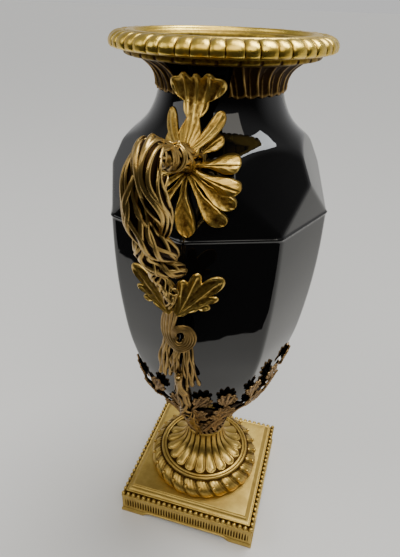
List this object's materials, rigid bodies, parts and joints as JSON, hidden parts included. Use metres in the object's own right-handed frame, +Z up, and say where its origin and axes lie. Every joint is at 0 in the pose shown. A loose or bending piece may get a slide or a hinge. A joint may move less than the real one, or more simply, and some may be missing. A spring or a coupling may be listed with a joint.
{
  "type": "mounted ceramic vase",
  "caption": "Tall black glazed ceramic vase with faceted belly and gilt bronze mounts: square plinth, round foot, leaf cup, gadrooned rim and twisted-stem handles.",
  "frame": {"origin": "middle of the square that the plinth stands on, at floor level", "axes": "+Z up along the vase's axis, -Y towards the front handle, +X to the right as the front handle is faced"},
  "size_m": [0.1734, 0.3142, 0.45],
  "materials": {
    "plinth": "satin gilt bronze, worn on the edges, brown in the recesses",
    "foot": "satin gilt bronze",
    "leaf_cup": "dark brown patinated bronze with gilt high points",
    "ceramic_body": "opaque black glazed ceramic, very glossy",
    "rim_mount": "bright burnished gilt bronze with dark seams",
    "handle_front": "antique gilt bronze with brown patina",
    "handle_back": "antique gilt bronze with brown patina"
  },
  "bodies": {
    "root": {"plinth": "plinth", "foot": "foot", "leaf_cup": "leaf_cup", "ceramic_body": "ceramic_body", "rim_mount": "rim_mount", "handle_front": "handle_front", "handle_back": "handle_back"}
  },
  "joints": []
}
